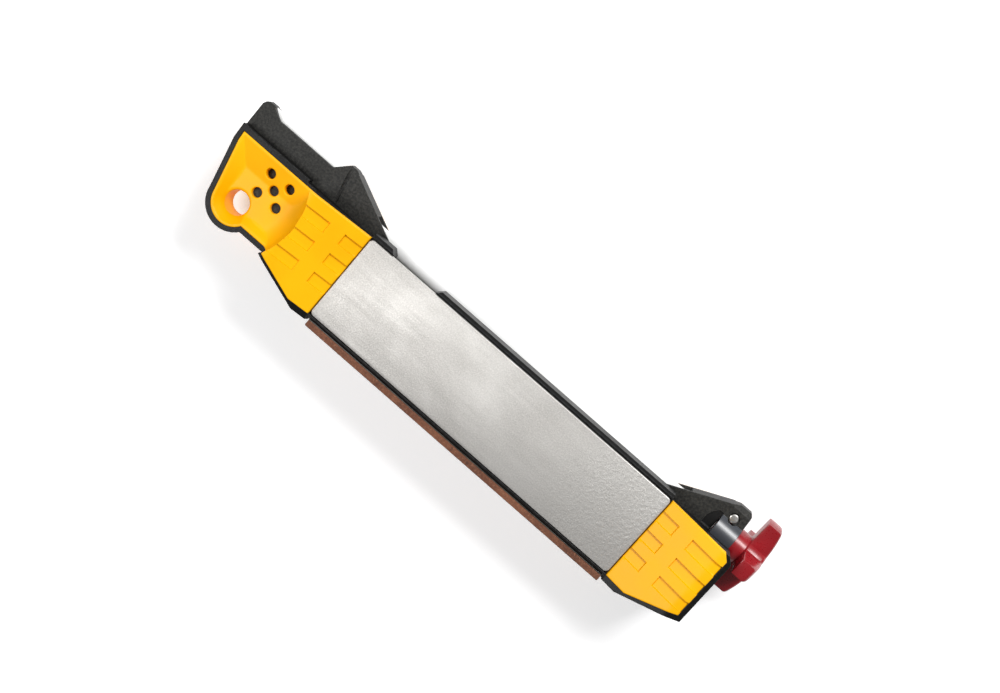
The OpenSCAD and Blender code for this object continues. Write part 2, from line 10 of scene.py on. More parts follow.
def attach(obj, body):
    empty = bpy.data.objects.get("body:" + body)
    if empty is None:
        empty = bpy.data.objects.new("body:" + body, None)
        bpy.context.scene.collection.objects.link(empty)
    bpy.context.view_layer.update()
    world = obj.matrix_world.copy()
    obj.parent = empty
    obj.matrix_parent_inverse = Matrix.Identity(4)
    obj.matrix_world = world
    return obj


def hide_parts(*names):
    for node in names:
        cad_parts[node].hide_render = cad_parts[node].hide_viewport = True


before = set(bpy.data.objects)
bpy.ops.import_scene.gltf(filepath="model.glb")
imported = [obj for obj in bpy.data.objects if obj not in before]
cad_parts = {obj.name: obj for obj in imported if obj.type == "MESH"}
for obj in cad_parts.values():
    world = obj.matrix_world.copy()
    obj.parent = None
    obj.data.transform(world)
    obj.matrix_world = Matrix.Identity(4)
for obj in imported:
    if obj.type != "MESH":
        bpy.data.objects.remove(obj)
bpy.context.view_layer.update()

# ---- Stand and light ----
# The tool lies on its back ramps on a pale sheet, looked down on from over the rod's edge.
# A broad lamp beyond the rod's edge throws the soft shadow towards the strop.
MM = 0.001
scene = bpy.context.scene
scene.view_settings.view_transform = "Standard"
scene.view_settings.look = "None"
# The camera's place, what it aims at and its right-hand direction, in mm.
CAMERA_EYE, CAMERA_AIM = (10.28, 75.22, 427.84), (0.195, 9.24, 24.987)
CAMERA_RIGHT = (0.753, 0.6461, -0.1247)
SENSOR_WIDTH, FOCAL_LENGTH = 36, 57.654
SHEET_HALF = 3


def put_in_scene(name, data):
    made = bpy.data.objects.new(name, data)
    scene.collection.objects.link(made)
    return made


def place_camera(eye, aim, right):
    cam_data = bpy.data.cameras.new("studio_camera")
    cam_data.sensor_width = SENSOR_WIDTH
    cam_data.lens = FOCAL_LENGTH
    cam_data.clip_start = 0.01
    cam_data.clip_end = 10
    cam = put_in_scene("studio_camera", cam_data)
    eye, aim, right = (Vector(p) for p in (eye, aim, right))
    back = (eye - aim).normalized()
    across = (right - right.dot(back) * back).normalized()
    up = back.cross(across)
    turn = Matrix((across, up, back)).transposed().to_4x4()
    cam.matrix_world = Matrix.Translation(eye * MM) @ turn
    scene.camera = cam


place_camera(CAMERA_EYE, CAMERA_AIM, CAMERA_RIGHT)


def area_lamp(name, place, aim, size, power):
    lamp = bpy.data.lights.new(name, "AREA")
    lamp.shape = "RECTANGLE"
    lamp.size, lamp.size_y = size
    lamp.energy = power
    holder = put_in_scene(name, lamp)
    holder.location = Vector(place)
    holder.rotation_euler = (Vector(aim) - Vector(place)).to_track_quat("-Z", "Y").to_euler()


area_lamp("key_lamp", (0.14, 0.50, 0.56), (0, 0, 0), (0.32, 0.22), 4.9)
area_lamp("fill_lamp", (-0.75, -0.15, 0.55), (0, 0, 0), (0.4, 0.4), 0.35)
area_lamp("plate_lamp", (-0.27, -0.12, 0.55), (-0.05, 0, 0), (0.2, 0.2), 1.35)

world = bpy.data.worlds.new("studio_air")
world.use_nodes = True
air = world.node_tree.nodes["Background"]
air.inputs["Color"].default_value = (1, 1, 1, 1)
air.inputs["Strength"].default_value = 0.24
scene.world = world


def pale_sheet():
    bm = bmesh.new()
    bmesh.ops.create_grid(bm, x_segments=8, y_segments=8, size=SHEET_HALF)
    mesh = bpy.data.meshes.new("pale_sheet")
    bm.to_mesh(mesh)
    bm.free()
    sheet = put_in_scene("pale_sheet", mesh)
    made = bpy.data.materials.new("pale_paper")
    made.use_nodes = True
    paper = made.node_tree.nodes["Principled BSDF"]
    paper.inputs["Base Color"].default_value = (0.92, 0.92, 0.925, 1)
    paper.inputs["Roughness"].default_value = 0.9
    paper.inputs["Specular IOR Level"].default_value = 0.1
    paper.inputs["Emission Color"].default_value = (1, 1, 1, 1)
    paper.inputs["Emission Strength"].default_value = 0.34
    mesh.materials.append(made)


pale_sheet()

# ---- Spine ----
# One moulding of glass-filled nylon, 6 mm thick, that everything else is screwed to. It shows
# along the rod's edge: block, rod ramps, knob barrel and end post. Moulded edges are slightly
# soft and the tool steel left a fine matt grain on it.


def soft_copy(node, name, edge, steps=2, angle=28):
    """A mesh copy of a CAD node, its loose triangles joined and its sharp edges rounded."""
    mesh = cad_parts[node].data.copy()
    mesh.name = name
    mesh.materials.clear()
    bm = bmesh.new()
    bm.from_mesh(mesh)
    bmesh.ops.remove_doubles(bm, verts=bm.verts, dist=2e-6)
    bmesh.ops.dissolve_limit(bm, angle_limit=math.radians(1.5), use_dissolve_boundaries=False,
                             verts=bm.verts, edges=bm.edges)
    for face in bm.faces:
        face.smooth = True
    for line in bm.edges:
        line.smooth = True
    bm.to_mesh(mesh)
    bm.free()
    piece = put_in_scene(name, mesh)
    bevel = piece.modifiers.new("soft_edges", "BEVEL")
    bevel.width = edge * MM
    bevel.segments = steps
    bevel.limit_method = "ANGLE"
    bevel.angle_limit = math.radians(angle)
    bevel.use_clamp_overlap = False
    bevel.harden_normals = True
    bevel.miter_outer = "MITER_ARC"
    return piece


def mesh_piece(name, bm, crease):
    """Keeps a built mesh as a piece: faces outwards, smooth but for edges over the crease."""
    bmesh.ops.recalc_face_normals(bm, faces=bm.faces)
    for f in bm.faces:
        f.smooth = True
    for e in bm.edges:
        e.smooth = not (e.is_manifold and e.calc_face_angle() > math.radians(crease))
    mesh = bpy.data.meshes.new(name)
    bm.to_mesh(mesh)
    bm.free()
    return put_in_scene(name, mesh)


def lofted(name, rings, poles, crease=35):
    """A closed piece through rings of equally many points, with a pole beyond each end."""
    bm = bmesh.new()
    loops = [[bm.verts.new(p) for p in ring] for ring in rings]
    for a, b in zip(loops, loops[1:]):
        for i in range(len(a)):
            j = (i + 1) % len(a)
            bm.faces.new((a[i], b[i], b[j], a[j]))
    for loop, place in zip((loops[0], loops[-1]), poles):
        pole = bm.verts.new(place)
        for i in range(len(loop)):
            bm.faces.new((pole, loop[i], loop[(i + 1) % len(loop)]))
    return mesh_piece(name, bm, crease)


def link(tree, out, into):
    tree.links.new(out, into)


def add(tree, kind, **values):
    made = tree.nodes.new(kind)
    for key, value in values.items():
        setattr(made, key, value)
    return made


def new_finish(name):
    """A material with its tree, its shader, and the place on the piece that patterns follow."""
    made = bpy.data.materials.new(name)
    made.use_nodes = True
    tree = made.node_tree
    place = add(tree, "ShaderNodeTexCoord").outputs["Object"]
    return made, tree, tree.nodes["Principled BSDF"], place


def new_group(name, inputs, outputs):
    tree = bpy.data.node_groups.new(name, "ShaderNodeTree")
    kinds = {"f": "NodeSocketFloat", "c": "NodeSocketColor", "v": "NodeSocketVector"}
    for label, kind, value in inputs:
        socket = tree.interface.new_socket(label, in_out="INPUT", socket_type=kinds[kind])
        if value is not None:
            socket.default_value = value
    for label, kind in outputs:
        tree.interface.new_socket(label, in_out="OUTPUT", socket_type=kinds[kind])
    start = tree.nodes.new("NodeGroupInput")
    end = tree.nodes.new("NodeGroupOutput")
    return tree, start, end


def noise(tree, place, scale, detail=2.0, rough=0.5):
    made = add(tree, "ShaderNodeTexNoise")
    made.inputs["Scale"].default_value = scale
    made.inputs["Detail"].default_value = detail
    made.inputs["Roughness"].default_value = rough
    if place is not None:
        link(tree, place, made.inputs["Vector"])
    return made


def maths(tree, what, a, b=None, clamp=False):
    made = add(tree, "ShaderNodeMath", operation=what, use_clamp=clamp)
    for i, value in enumerate((a, b)):
        if value is None:
            continue
        if isinstance(value, (int, float)):
            made.inputs[i].default_value = value
        else:
            link(tree, value, made.inputs[i])
    return made.outputs[0]


def between(tree, value, low, high, to_low=0.0, to_high=1.0):
    made = add(tree, "ShaderNodeMapRange")
    made.interpolation_type = "SMOOTHSTEP"
    link(tree, value, made.inputs["Value"])
    made.inputs["From Min"].default_value = low
    made.inputs["From Max"].default_value = high
    made.inputs["To Min"].default_value = to_low
    made.inputs["To Max"].default_value = to_high
    return made.outputs["Result"]


def blend_colours(tree, amount, first, second):
    made = add(tree, "ShaderNodeMix", data_type="RGBA")
    link(tree, amount, made.inputs["Factor"])
    for socket, value in ((made.inputs[6], first), (made.inputs[7], second)):
        if isinstance(value, tuple):
            socket.default_value = value
        else:
            link(tree, value, socket)
    return made.outputs[2]


def grain_group():
    """Fine moulded grain: a height for bump, and a slow cloud for shade and gloss."""
    tree, start, end = new_group(
        "moulded_grain",
        [("Place", "v", None), ("Grain Scale", "f", 3500.0), ("Cloud Scale", "f", 60.0)],
        [("Height", "f"), ("Cloud", "f")])
    fine = noise(tree, start.outputs["Place"], 3500, 3, 0.6)
    link(tree, start.outputs["Grain Scale"], fine.inputs["Scale"])
    cloud = noise(tree, start.outputs["Place"], 60, 3, 0.5)
    link(tree, start.outputs["Cloud Scale"], cloud.inputs["Scale"])
    link(tree, fine.outputs["Fac"], end.inputs["Height"])
    link(tree, cloud.outputs["Fac"], end.inputs["Cloud"])
    return tree


def wear_group():
    """A mask that is 1 on outward edges, broken up by noise, for rubbed corners."""
    tree, start, end = new_group(
        "rubbed_edges",
        [("Place", "v", None), ("Width", "f", 0.0004), ("Amount", "f", 1.0)],
        [("Mask", "f")])
    round_off = add(tree, "ShaderNodeBevel", samples=6)
    link(tree, start.outputs["Width"], round_off.inputs["Radius"])
    shape = add(tree, "ShaderNodeNewGeometry")
    dot = add(tree, "ShaderNodeVectorMath", operation="DOT_PRODUCT")
    link(tree, round_off.outputs["Normal"], dot.inputs[0])
    link(tree, shape.outputs["Normal"], dot.inputs[1])
    edge = between(tree, dot.outputs["Value"], 0.999, 0.9)
    broken = noise(tree, start.outputs["Place"], 900, 4, 0.6)
    patch = between(tree, broken.outputs["Fac"], 0.35, 0.65)
    both = maths(tree, "MULTIPLY", edge, patch)
    link(tree, maths(tree, "MULTIPLY", both, start.outputs["Amount"], True), end.inputs["Mask"])
    return tree


GRAIN = grain_group()
WEAR = wear_group()


def use_group(tree, group, place, **values):
    made = add(tree, "ShaderNodeGroup", node_tree=group)
    link(tree, place, made.inputs["Place"])
    for key, value in values.items():
        made.inputs[key.replace("_", " ")].default_value = value
    return made


def bump(tree, shader, height, distance, strength=1.0):
    made = add(tree, "ShaderNodeBump")
    made.inputs["Distance"].default_value = distance
    made.inputs["Strength"].default_value = strength
    link(tree, height, made.inputs["Height"])
    link(tree, made.outputs["Normal"], shader.inputs["Normal"])
    return made


# The knob's barrel and the pocket beside it, in m in the frame.
BARREL_Y, BARREL_Z, BARREL_START, BARREL_REACH = 0.00906, 0.01558749, 0.0717, 0.0056
POCKET_START, POCKET_END = 0.0687, 0.0722
SPINE_HALF, MASK_MARGIN = 0.003, 0.00002
BARREL_GLOSS, BARREL_SHINE, BARREL_SMOOTHING = 0.24, 0.5, 0.7
GRAIN_STRENGTH, MOULDED_EDGE = 0.8, 0.00028


def knob_end_masks(tree, place):
    """Masks of the barrel's outside and of the pocket beside it, where painted shade goes."""
    split = add(tree, "ShaderNodeSeparateXYZ")
    link(tree, place, split.inputs[0])
    along = split.outputs["X"]
    off_y = maths(tree, "SUBTRACT", split.outputs["Y"], BARREL_Y)
    off_z = maths(tree, "ABSOLUTE", maths(tree, "SUBTRACT", split.outputs["Z"], BARREL_Z))
    reach = maths(tree, "SQRT", maths(tree, "ADD", maths(tree, "MULTIPLY", off_y, off_y),
                                      maths(tree, "MULTIPLY", off_z, off_z)))
    barrel = maths(tree, "MULTIPLY", maths(tree, "LESS_THAN", reach, BARREL_REACH),
                   maths(tree, "GREATER_THAN", off_z, SPINE_HALF + MASK_MARGIN))
    barrel = maths(tree, "MULTIPLY", barrel, maths(tree, "GREATER_THAN", along, BARREL_START))
    painted_pocket_shade = maths(tree, "MULTIPLY", maths(tree, "LESS_THAN", off_z, SPINE_HALF - MASK_MARGIN),
                   maths(tree, "GREATER_THAN", along, POCKET_START))
    return barrel, maths(tree, "MULTIPLY", painted_pocket_shade, maths(tree, "LESS_THAN", along, POCKET_END))


def black_nylon(name, dark, light, gloss, shine, relief):
    """Black nylon: polished on the knob's barrel; matt in the pocket beside it, with near-black
    painted shade there.
    """
    made, tree, shader, place = new_finish(name)
    grain = use_group(tree, GRAIN, place, Grain_Scale=2600.0, Cloud_Scale=55.0)
    wear = use_group(tree, WEAR, place, Width=0.00035, Amount=0.55)
    speck = noise(tree, place, 1500, 2, 0.7)
    shade = blend_colours(tree, between(tree, speck.outputs["Fac"], 0.3, 0.75), dark, light)
    worn = blend_colours(tree, wear.outputs["Mask"], shade, (0.09, 0.09, 0.09, 1))
    barrel, painted_pocket_shade = knob_end_masks(tree, place)
    # Painted shade: the pocket beside the barrel is coloured near-black so it reads as a deep
    # pocket in shade.
    with_painted_pocket_shade = blend_colours(tree, painted_pocket_shade, worn, (0.002, 0.002, 0.002, 1))
    coloured = blend_colours(tree, barrel, with_painted_pocket_shade, (0.045, 0.05, 0.06, 1))
    link(tree, coloured, shader.inputs["Base Color"])
    rough = between(tree, grain.outputs["Cloud"], 0.3, 0.7, gloss, gloss + 0.1)
    drop = maths(tree, "MULTIPLY", barrel, gloss - BARREL_GLOSS)
    link(tree, maths(tree, "SUBTRACT", rough, drop, True), shader.inputs["Roughness"])
    link(tree, maths(tree, "ADD", shine, maths(tree, "MULTIPLY", barrel, BARREL_SHINE)),
         shader.inputs["Specular IOR Level"])
    skin = bump(tree, shader, grain.outputs["Height"], relief)
    smoothing = maths(tree, "MULTIPLY", barrel, BARREL_SMOOTHING)
    link(tree, maths(tree, "SUBTRACT", GRAIN_STRENGTH, smoothing), skin.inputs["Strength"])
    soft = add(tree, "ShaderNodeBevel", samples=6)
    soft.inputs["Radius"].default_value = MOULDED_EDGE
    link(tree, soft.outputs["Normal"], skin.inputs["Normal"])
    return made


SPINE_NYLON = black_nylon("spine_nylon", (0.010, 0.010, 0.009, 1), (0.036, 0.035, 0.031, 1),
                          0.5, 0.3, 0.00008)
SHELL_NYLON = black_nylon("shell_nylon", (0.004, 0.004, 0.004, 1), (0.009, 0.009, 0.009, 1),
                          0.36, 0.16, 0.00003)


def dress(node, material):
    """Gives a CAD node that is shown as packed its finish."""
    mesh_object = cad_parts[node]
    for holder in mesh_object.material_slots:
        holder.material = material
    if not mesh_object.material_slots:
        mesh_object.data.materials.append(material)


dress("center_frame", SPINE_NYLON)

# ---- Shells ----
# Two black shells in the same nylon, one on each face. They carry the plates' seats, the rails
# beside them and the rims round the yellow ramps, and are held by the four screws.
dress("front_housing", SHELL_NYLON)
dress("back_housing", SHELL_NYLON)

# ---- Yellow ramps ----
# Satin yellow mouldings, pegged into the shells over the screws: a ramp with grip pockets at
# each end of a plate, and at the lanyard end the thumb scoop in one piece with its ramp.


def yellow_nylon():
    made, tree, shader, place = new_finish("yellow_nylon")
    grain = use_group(tree, GRAIN, place, Grain_Scale=1800.0, Cloud_Scale=45.0)
    wear = use_group(tree, WEAR, place, Width=0.0003, Amount=0.25)
    shade = blend_colours(tree, between(tree, grain.outputs["Cloud"], 0.3, 0.7),
                          (0.92, 0.43, 0.0, 1), (1.0, 0.50, 0.0, 1))
    worn = blend_colours(tree, wear.outputs["Mask"], shade, (1.0, 0.62, 0.03, 1))
    link(tree, worn, shader.inputs["Base Color"])
    link(tree, between(tree, grain.outputs["Cloud"], 0.3, 0.7, 0.38, 0.48),
         shader.inputs["Roughness"])
    shader.inputs["Specular IOR Level"].default_value = 0.2
    bump(tree, shader, grain.outputs["Height"], 0.00002, 0.6)
    return made


YELLOW_NYLON = yellow_nylon()
# Sizes in mm, from the middle of the plates on the mid-plane.
DATUM = Vector((8.1, -4.26, 15.58749))
FACE, RAMP_START, CREST, SKIN = 9.4, 51.1, 68.1, 1.8
SLOPE = math.tan(math.radians(20))
CREST_TOP = FACE + (CREST - RAMP_START) * SLOPE
EDGE_SOFT = 0.3
ROD_EDGE, STROP_EDGE, SCOOP_EDGE, FOOT_EDGE = 12.7, -13.2, 11.6, -8.0
SLANT_START, KNOB_END = 57.2, 70.6
GRIP_ROWS = (7.65, 1.35, -4.95)
GRIP_HALF, GRIP_DEEP = 1.6, 0.7
ARC_MIDDLE, ARC_RADIUS, ARC_FILLET = (-89.0, 1.9), 21.7, 6.5
SCOOP_FLOOR, RIM_TOP = 4.6, 7.0
HOLE, HOLE_RADIUS, SLEEVE_RADIUS = (-84.6, -4.5), 3.35, 4.6
NOSE_RADIUS, LIP_RADIUS = 6.3, 0.9
WINDOW_MIDDLE, WINDOW_PITCH, WINDOW_RADIUS = (-79.0, 4.3), 3.2, 1.4


def ease(value, low, high):
    t = np.clip((value - low) / (high - low), 0, 1)
    return t * t * (3 - 2 * t)


def ramp_top(along):
    """Height of the ramp at a distance from the plate's middle, with its crest rounded."""
    soft = 5.0
    run = soft * math.tan(math.radians(10))
    start = CREST + run - soft * math.sin(math.radians(20))
    arc = CREST_TOP - soft + np.sqrt(np.clip(soft**2 - (CREST + run - along) ** 2, 0, None))
    rise = FACE + (along - RAMP_START) * SLOPE
    return np.where(along < start, rise, np.where(along < CREST + run, arc, CREST_TOP))


def grip_drop(along, y):
    """Depth of the grip pockets at a place on a ramp: inner and outer ones in three rows."""
    inside_x = np.maximum(1 - ease(along, RAMP_START + 5.13, RAMP_START + 5.33),
                          ease(along, RAMP_START + 9.77, RAMP_START + 9.97))
    inside_y = np.zeros_like(y)
    for row in GRIP_ROWS:
        gap = np.abs(y - row)
        inside_y = np.maximum(inside_y, 1 - ease(gap, GRIP_HALF - 0.1, GRIP_HALF + 0.1))
    return GRIP_DEEP * inside_x * inside_y


def knob_ramp_outline():
    return [(RAMP_START, STROP_EDGE), (SLANT_START, STROP_EDGE), (KNOB_END, -7.4),
            (KNOB_END, ROD_EDGE - 1.7), (KNOB_END - 1.7, ROD_EDGE), (RAMP_START, ROD_EDGE)]


def arc_points(middle, radius, first, last, count):
    turns = np.radians(np.linspace(first, last, count))
    return [(middle[0] + radius * math.cos(t), middle[1] + radius * math.sin(t)) for t in turns]


def touching_foot(point, middle, radius):
    """Where a straight side from a point meets a round, on the round's left."""
    gap = Vector(middle) - Vector(point)
    aim = math.atan2(gap.y, gap.x) - math.asin(radius / gap.length)
    run = math.sqrt(gap.length**2 - radius**2)
    return Vector(point) + run * Vector((math.cos(aim), math.sin(aim)))


SHOULDER = (-94.1, 8.9)
NOSE_FOOT = touching_foot(SHOULDER, HOLE, NOSE_RADIUS - 0.05)


def lanyard_ramp_outline():
    """Once round, anticlockwise, from the plate's corner: ramp, scoop's far side, hole, foot."""
    up, low = (math.degrees(math.asin((edge - ARC_MIDDLE[1]) / ARC_RADIUS))
               for edge in (ROD_EDGE, SCOOP_EDGE))
    start = math.degrees(math.atan2(NOSE_FOOT.y - HOLE[1], NOSE_FOOT.x - HOLE[0])) % 360
    end = 360 + math.degrees(math.asin((FOOT_EDGE - HOLE[1]) / NOSE_RADIUS))
    return ([(-RAMP_START, ROD_EDGE)] + arc_points(ARC_MIDDLE, ARC_RADIUS, up, low, 5)
            + [(-94.3, SCOOP_EDGE), SHOULDER] + arc_points(HOLE, NOSE_RADIUS, start, end, 26)
            + [(-69.2, FOOT_EDGE), (-SLANT_START, STROP_EDGE), (-RAMP_START, STROP_EDGE)])


def split_loop(points, step):
    loop = []
    for a, b in zip(points, points[1:] + points[:1]):
        a, b = np.array(a), np.array(b)
        count = max(1, int(np.linalg.norm(b - a) / step))
        loop += [a + (b - a) * i / count for i in range(count)]
    return np.array(loop)


def gap_to(points, loops):
    """Distance from each point to the nearest side of the loops."""
    best = np.full(len(points), 1e9)
    for loop in loops:
        for a, b in zip(loop, np.roll(loop, -1, axis=0)):
            side = b - a
            t = np.clip(((points - a) @ side) / (side @ side), 0, 1)
            best = np.minimum(best, np.linalg.norm(points - a - t[:, None] * side, axis=1))
    return best


def within(points, loop):
    inside = np.zeros(len(points), bool)
    for a, b in zip(loop, np.roll(loop, -1, axis=0)):
        crosses = (a[1] > points[:, 1]) != (b[1] > points[:, 1])
        height = b[1] - a[1] if b[1] != a[1] else 1e-12
        at = (b[0] - a[0]) * (points[:, 1] - a[1]) / height + a[0]
        inside ^= crosses & (points[:, 0] < at)
    return inside


def inside_outline(points, loops):
    """Which points are inside the first loop and outside the holes."""
    keep = within(points, loops[0])
    for hole in loops[1:]:
        keep &= ~within(points, hole)
    return keep


def moulded_relief(name, outline, holes, lines, extra, top, bottom, face):
    """A closed moulding from its outline: top and bottom heights are functions of the place,
    and its upper edges are rounded. face is 1 for the front and -1 for the back."""
    loops = [split_loop(outline, 0.6)] + [np.array(h) for h in holes]
    grid = np.array([(x, y) for x in lines[0] for y in lines[1]])
    rings = []
    for loop in loops:
        after = np.roll(loop, -1, axis=0)
        side = after - loop
        inward = np.stack([-side[:, 1], side[:, 0]], 1) / np.linalg.norm(side, axis=1)[:, None]
        for turn in (25, 45, 65, 90):
            depth = EDGE_SOFT * (1 - math.cos(math.radians(turn)))
            for t in (0.0, 0.5):
                ring = loop + side * t + inward * depth
                rings.append(ring[gap_to(ring, loops) > depth - 0.004])
    fill = np.concatenate([grid, extra]) if len(extra) else grid
    fill = fill[gap_to(fill, loops) > EDGE_SOFT + 0.1]
    spots = np.concatenate([fill] + rings)
    spots = spots[inside_outline(spots, loops)]
    edges, first = [], 0
    for loop in loops:
        edges += [(first + i, first + (i + 1) % len(loop)) for i in range(len(loop))]
        first += len(loop)
    points = np.concatenate(loops + [spots])
    out = delaunay_2d_cdt([Vector(p) for p in points], edges, [], 0, 1e-5)
    flat = np.array([tuple(p) for p in out[0]])
    tris = np.array(out[2])
    tris = tris[inside_outline(flat[tris].mean(axis=1), loops)]
    inset = gap_to(flat, loops)
    fall = EDGE_SOFT - np.sqrt(EDGE_SOFT**2 - np.clip(EDGE_SOFT - inset, 0, None) ** 2)
    high = top(flat[:, 0], flat[:, 1]) - fall
    low = np.minimum(bottom(flat[:, 0], flat[:, 1]), high - 0.05)
    bm = bmesh.new()
    upper = [bm.verts.new((p[0], p[1], face * z)) for p, z in zip(flat, high)]
    lower = [bm.verts.new((p[0], p[1], face * z)) for p, z in zip(flat, low)]
    for t in tris:
        bm.faces.new([upper[i] for i in t])
        bm.faces.new([lower[i] for i in t[::-1]])
    rim = [e for e in bm.edges if len(e.link_faces) == 1]
    index = {v: i for i, v in enumerate(upper)}
    for line in rim:
        if line.verts[0] in index and line.verts[1] in index:
            a, b = (index[v] for v in line.verts)
            bm.faces.new([upper[a], upper[b], lower[b], lower[a]])
    for v in [v for v in bm.verts if not v.link_faces]:
        bm.verts.remove(v)
    bmesh.ops.translate(bm, verts=bm.verts, vec=DATUM)
    bmesh.ops.scale(bm, verts=bm.verts, vec=(MM, MM, MM))
    return mesh_piece(name, bm, 48)


def scoop_top(x, y):
    """Height inside the scoop: floor, sloping sides, the turn up to the ramp's back, and the
    soft lip that leads into the lanyard hole."""
    away = np.hypot(x - ARC_MIDDLE[0], y - ARC_MIDDLE[1])
    turn = np.clip(away - (ARC_RADIUS - ARC_FILLET), 0, ARC_FILLET)
    curl = SCOOP_FLOOR + ARC_FILLET - np.sqrt(ARC_FILLET**2 - turn**2)
    deep = RIM_TOP - SCOOP_FLOOR
    corner, foot = np.array(SHOULDER), np.array(NOSE_FOOT)
    line = (foot - corner) / np.linalg.norm(foot - corner)
    run = (x - corner[0]) * line[0] + (y - corner[1]) * line[1]
    from_left = -(x - corner[0]) * line[1] + (y - corner[1]) * line[0]
    nose = np.hypot(x - HOLE[0], y - HOLE[1])
    before = run < np.linalg.norm(foot - corner)
    edge = np.where(before, from_left, NOSE_RADIUS - nose)
    edge = np.where(x > HOLE[0] + 1, np.maximum(edge, y - FOOT_EDGE), edge)
    width = 3.4 - 1.4 * ease(run, 5, 14.5)
    sides = RIM_TOP - deep * np.clip((edge - 0.7) / width, 0, 1)
    far = RIM_TOP - deep * np.clip((SCOOP_EDGE - y - 0.6) / 6.6, 0, 1)
    lip = 1 - np.clip((nose - HOLE_RADIUS) / LIP_RADIUS, 0, 1)
    fall = LIP_RADIUS * (1 - np.sqrt(1 - lip**2))
    return np.maximum(np.maximum(curl, sides), far) - 0.9 * fall


def lanyard_top(x, y):
    away = np.hypot(x - ARC_MIDDLE[0], y - ARC_MIDDLE[1])
    ramp = ramp_top(-x) - grip_drop(-x, y)
    wall = np.where(y > SCOOP_EDGE + 0.02, 1.0, ease(away, ARC_RADIUS - 0.02, ARC_RADIUS + 0.3))
    return scoop_top(x, y) * (1 - wall) + ramp * wall


def lanyard_bottom(x, y):
    away = np.hypot(x - ARC_MIDDLE[0], y - ARC_MIDDLE[1])
    behind = (away < ARC_RADIUS + SKIN) & (y > FOOT_EDGE)
    scoop = (behind | (away < ARC_RADIUS)) & (y < SCOOP_EDGE + 0.01)
    base = np.where(scoop, 3.0, ramp_top(-x) - SKIN)
    sleeve = np.hypot(x - HOLE[0], y - HOLE[1]) < SLEEVE_RADIUS
    return np.where(sleeve, 0.02, base)


def grid_lines(first, last, step, marks):
    """Even lines, with close pairs beside each mark so that a step there stays crisp."""
    lines = list(np.arange(first, last, step))
    near = [m + d for m in marks for d in (-0.1, -0.03, 0.04, 0.11)]
    lines = [v for v in lines if min([abs(v - m) for m in near] + [9]) > 0.12]
    return np.array(sorted(lines + near))


GRIP_SIDES = [row + s * GRIP_HALF for row in GRIP_ROWS for s in (-1, 1)]
YELLOW_LINES_Y = grid_lines(-13.4, 12.9, 0.42, GRIP_SIDES)


def hole_loop(middle, radius, count):
    return arc_points(middle, radius, 0, -360 + 360 / count, count)


def add_ramp(node, name, parts, face):
    piece = moulded_relief(name, *parts, face)
    piece.data.materials.append(YELLOW_NYLON)
    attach(piece, "housing")
    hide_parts(node)


KNOB_RAMP = (knob_ramp_outline(), [],
             (grid_lines(50.9, 70.8, 0.42, [RAMP_START + 5.23, RAMP_START + 9.87]),
              YELLOW_LINES_Y),
             np.zeros((0, 2)),
             lambda x, y: ramp_top(x) - grip_drop(x, y),
             lambda x, y: ramp_top(x) - SKIN)
WINDOWS = [hole_loop((WINDOW_MIDDLE[0] + i * WINDOW_PITCH, WINDOW_MIDDLE[1] + j * WINDOW_PITCH),
                     WINDOW_RADIUS, 28)
           for i, j in ((0, 0), (1, 1), (1, -1), (-1, 1), (-1, -1))]
# Rounds of extra points where the scoop turns up, under its wall, and about the lanyard hole.
TURN_ROUNDS = [ARC_RADIUS + d
               for d in (-3, -2, -1.2, -0.6, -0.3, -0.12, -0.02, 0.07, 0.14, 0.22, 0.3)]
TURN_ROUNDS += [ARC_RADIUS + SKIN - 0.02, ARC_RADIUS + SKIN + 0.02]
HOLE_ROUNDS = [3.75, 3.95, 4.15, SLEEVE_RADIUS - 0.02, SLEEVE_RADIUS + 0.02, 5.2, 5.6, 5.9]
ROUNDS = np.array([p for r in TURN_ROUNDS for p in arc_points(ARC_MIDDLE, r, -40, 40, 90)]
                  + [p for r in HOLE_ROUNDS for p in arc_points(HOLE, r, 0, 357, 72)])
LANYARD_RAMP = (lanyard_ramp_outline(), [hole_loop(HOLE, HOLE_RADIUS, 56)] + WINDOWS,
                (grid_lines(-94.6, -50.9, 0.42, [-RAMP_START - 5.23, -RAMP_START - 9.87]),
                 YELLOW_LINES_Y),
                ROUNDS, lanyard_top, lanyard_bottom)
for face, side in ((1, "front"), (-1, "back")):
    add_ramp(f"{side}_lanyard_guide", f"{side}_lanyard_ramp", LANYARD_RAMP, face)
    add_ramp(f"{side}_knob_guide", f"{side}_knob_ramp", KNOB_RAMP, face)

# ---- Diamond plates ----
# Ground steel plates with diamond grit set in nickel, coarse in front and fine behind. The
# grit breaks up the light into fine sparkle, and rubbed patches read a little brighter.


